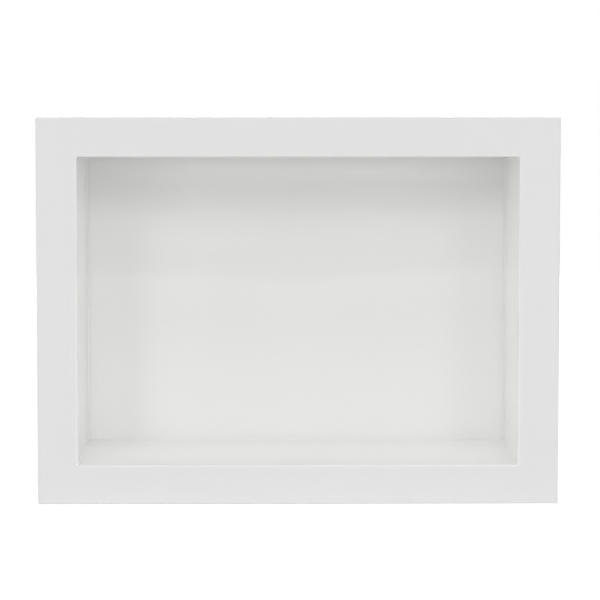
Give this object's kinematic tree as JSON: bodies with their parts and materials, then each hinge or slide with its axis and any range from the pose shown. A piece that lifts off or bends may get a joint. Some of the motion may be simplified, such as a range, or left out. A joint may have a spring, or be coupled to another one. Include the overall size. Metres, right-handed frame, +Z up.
{
  "type": "shower niche insert",
  "caption": "White moulded shower niche insert: a flat frame flange that lies on the wall, with a drafted box recess behind it whose floor drains forward.",
  "frame": {"origin": "centre of the opening on the wall's surface, in the plane of the flange's back face", "axes": "+Y into the wall along the recess, +X to the right and +Z up for someone who faces the opening"},
  "size_m": [0.419, 0.093, 0.311],
  "materials": {
    "white_moulding": "gloss white, as moulded"
  },
  "bodies": {
    "root": {"niche_insert": "white_moulding"}
  },
  "joints": []
}
